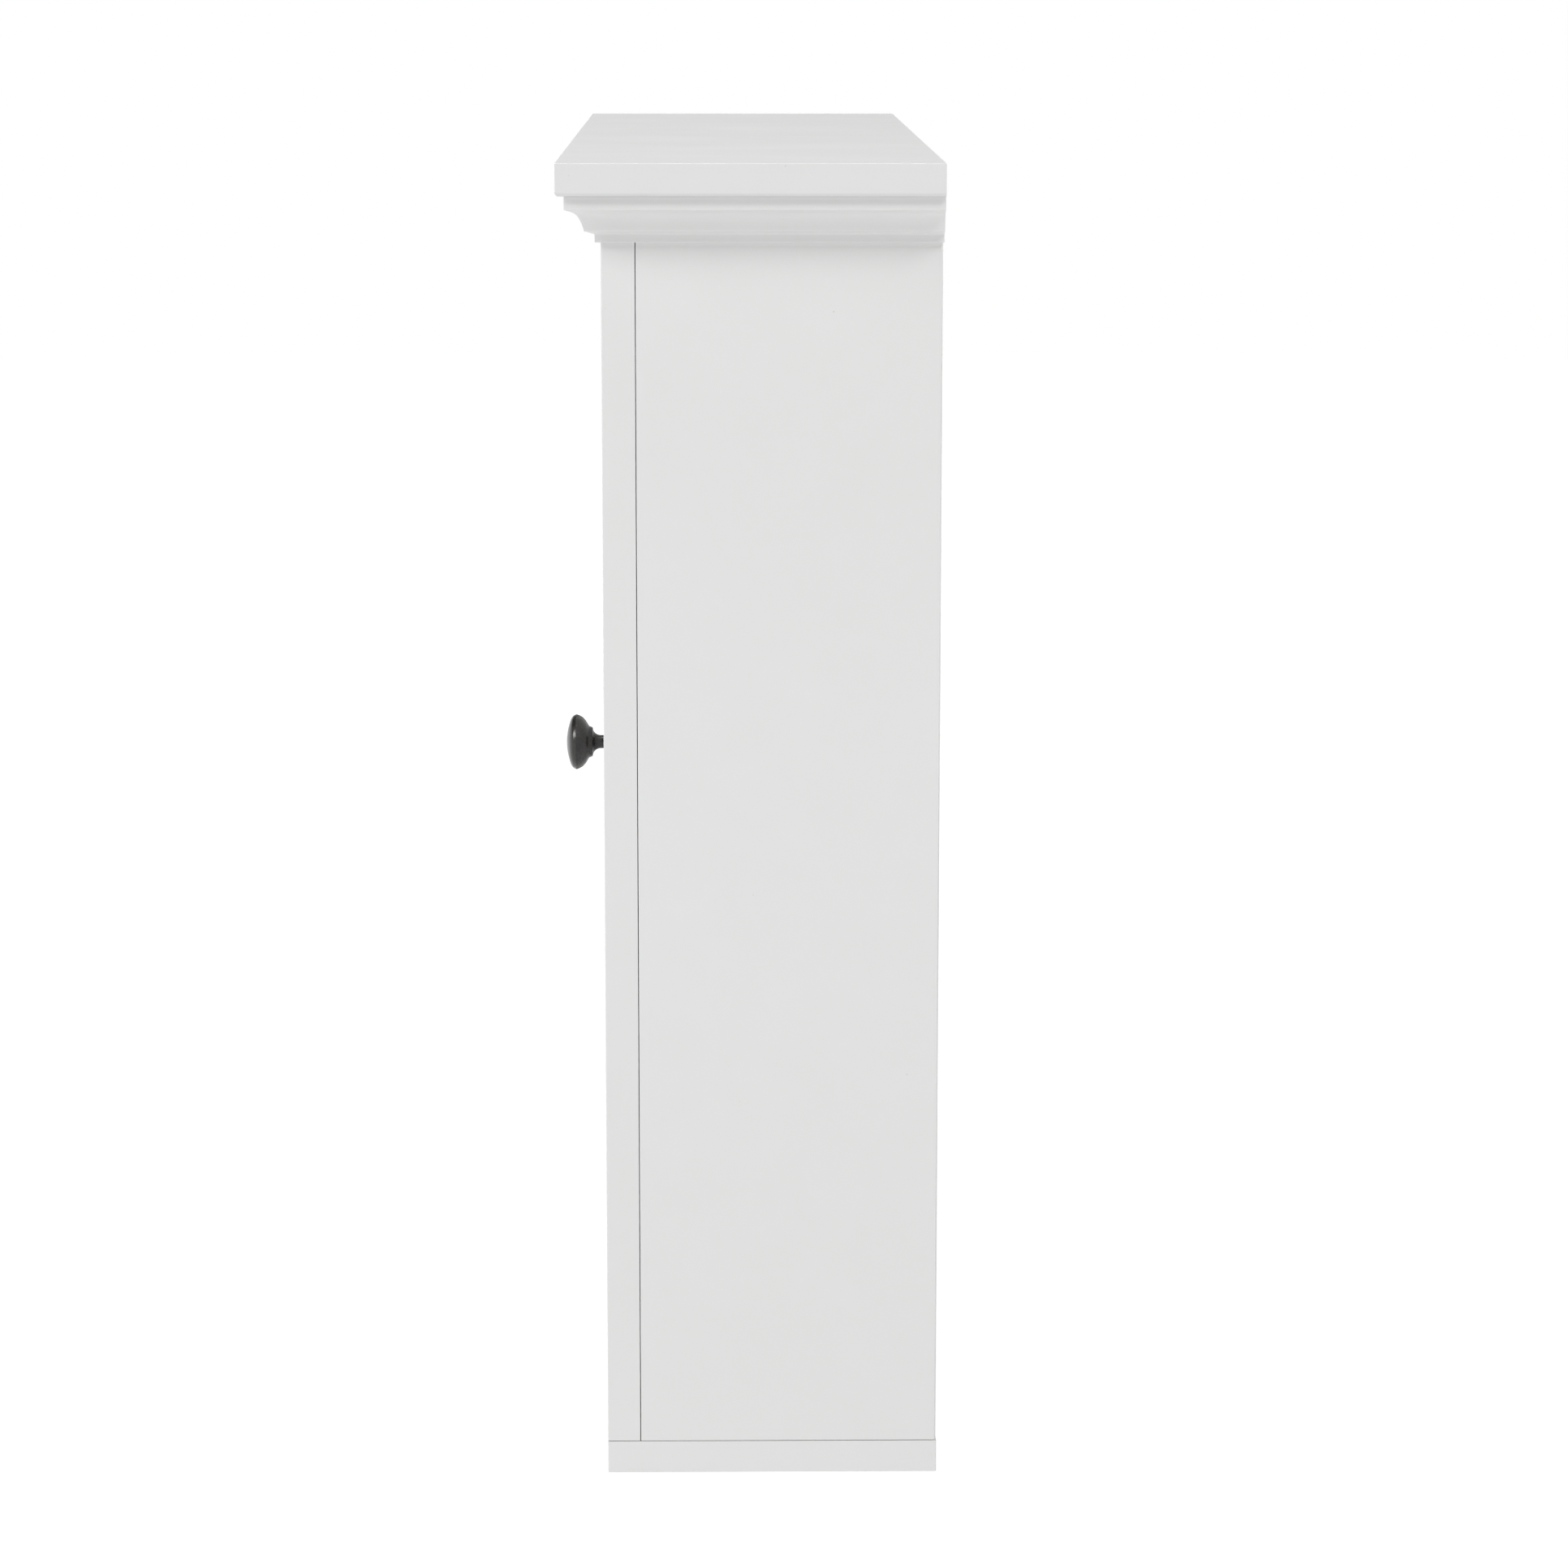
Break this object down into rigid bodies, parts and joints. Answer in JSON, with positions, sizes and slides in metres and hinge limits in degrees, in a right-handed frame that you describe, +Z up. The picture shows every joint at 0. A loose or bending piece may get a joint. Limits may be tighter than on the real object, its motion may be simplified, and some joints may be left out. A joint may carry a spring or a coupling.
{
  "type": "apothecary wall cabinet",
  "caption": "White wall cabinet with a crown moulding, open shelves on the left and a framed, pivot-hung door with a round dark knob on the right.",
  "frame": {"origin": "middle of the underside of the whole cabinet's box, knob included", "axes": "+X to the right as seen from the front, +Y to the back, towards the wall, +Z up"},
  "size_m": [0.762, 0.2126, 0.724],
  "materials": {
    "white_paint": "satin white paint on wood and MDF boards",
    "beech_dowel": "bare sanded",
    "steel_fitting": "nickel plated",
    "zinc_screw": "zinc plated",
    "brass_bush": "turned",
    "dark_knob": "dark graphite, semi-gloss",
    "pale_plastic": "moulded",
    "magnet": "nickel plated"
  },
  "bodies": {
    "cabinet": {"base_board": "white_paint", "side_panel_right": "white_paint", "side_panel_left": "white_paint", "centre_divider": "white_paint", "floor_panel": "white_paint", "carcass_top": "white_paint", "back_panel": "white_paint", "hanging_rail": "white_paint", "frame_stile_right": "white_paint", "frame_stile_left": "white_paint", "frame_stile_centre": "white_paint", "frame_rail_top": "white_paint", "frame_rail_bottom": "white_paint", "top_board": "white_paint", "crown_front": "white_paint", "crown_right": "white_paint", "crown_left": "white_paint", "shelf_open_lower": "white_paint", "shelf_open_upper": "white_paint", "shelf_door_lower": "white_paint", "shelf_door_upper": "white_paint", "shelf_pins": "steel_fitting", "door_stop": "white_paint", "stop_screws": "zinc_screw", "catch_housings": "pale_plastic", "catch_magnets": "magnet", "door_bumpers": "pale_plastic", "upper_pivot": "steel_fitting", "lower_pivot": "steel_fitting", "pivot_washer": "pale_plastic", "pivot_screws": "zinc_screw", "frame_dowels": "beech_dowel", "divider_dowels": "beech_dowel", "base_screws": "zinc_screw", "top_screws": "zinc_screw", "rail_screws": "zinc_screw", "back_screws": "zinc_screw", "cam_discs": "zinc_screw", "cam_bolts": "zinc_screw"},
    "door": {"door_stile_hinge": "white_paint", "door_stile_knob": "white_paint", "door_rail_top": "white_paint", "door_rail_bottom": "white_paint", "door_panel": "white_paint", "door_beads": "white_paint", "upper_bush": "brass_bush", "lower_bush": "brass_bush", "knob": "dark_knob", "knob_screw": "zinc_screw", "strike_plates": "steel_fitting", "strike_screws": "zinc_screw"}
  },
  "joints": [
    {"name": "door_swing", "type": "hinge", "parent": "cabinet", "child": "door", "pos_m": [0.2945, -0.07025, 0.36], "axis": [0, 0, 1], "range_deg": [0, 125]}
  ]
}
